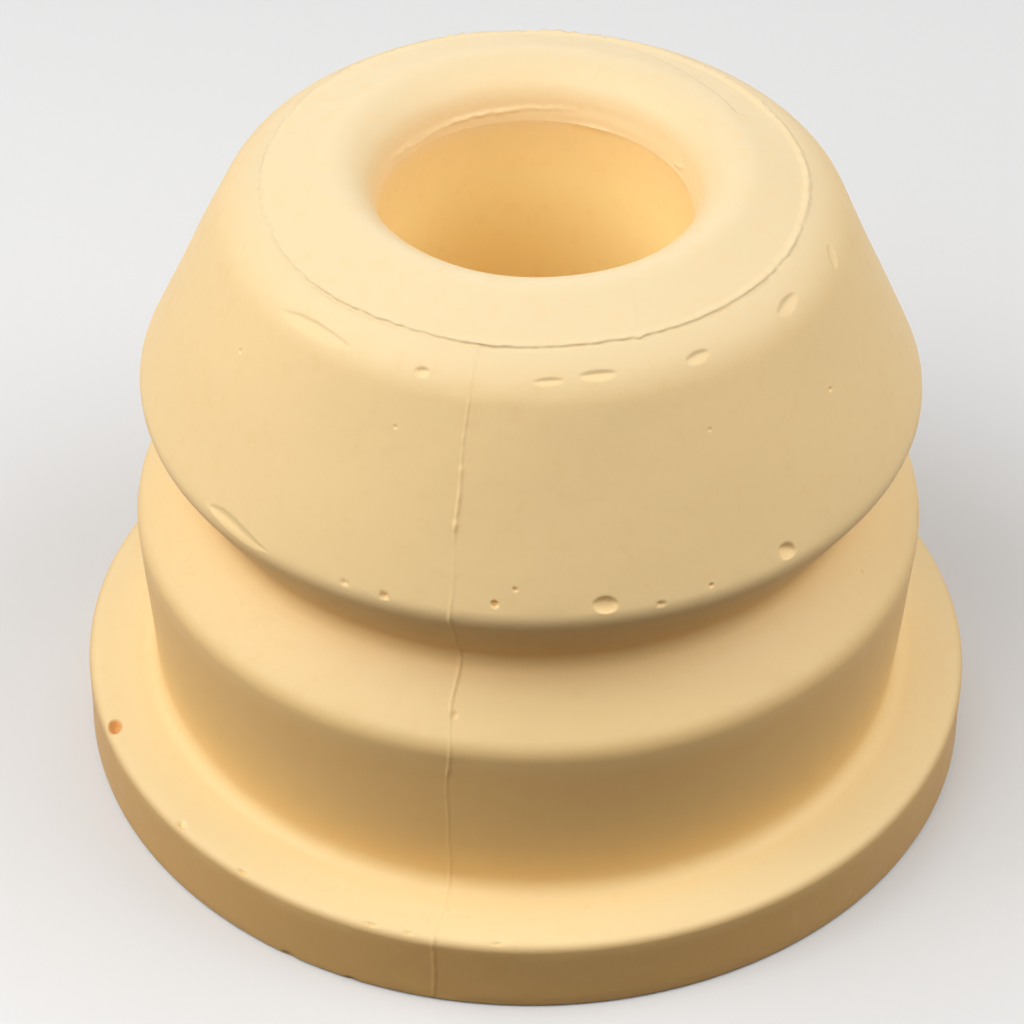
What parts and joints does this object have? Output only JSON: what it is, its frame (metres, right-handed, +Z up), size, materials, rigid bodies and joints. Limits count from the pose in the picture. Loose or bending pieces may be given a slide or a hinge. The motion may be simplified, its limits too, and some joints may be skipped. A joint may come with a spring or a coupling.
{
  "type": "rubber spring mount",
  "caption": "Round moulded spring mount of cream cellular rubber: a tapered, crowned nose over two bulges with a groove between them, a wide flat flange and a through bore.",
  "frame": {"origin": "centre of the flange's flat underside, on which the mount stands", "axes": "+Z up the bore axis from the flange to the nose; -Y is the front, and a mould seam runs down it a little towards -X"},
  "size_m": [0.08, 0.08, 0.058],
  "materials": {
    "moulded_rubber": "satin cream moulding skin"
  },
  "bodies": {
    "root": {"spring_mount_body": "moulded_rubber"}
  },
  "joints": []
}
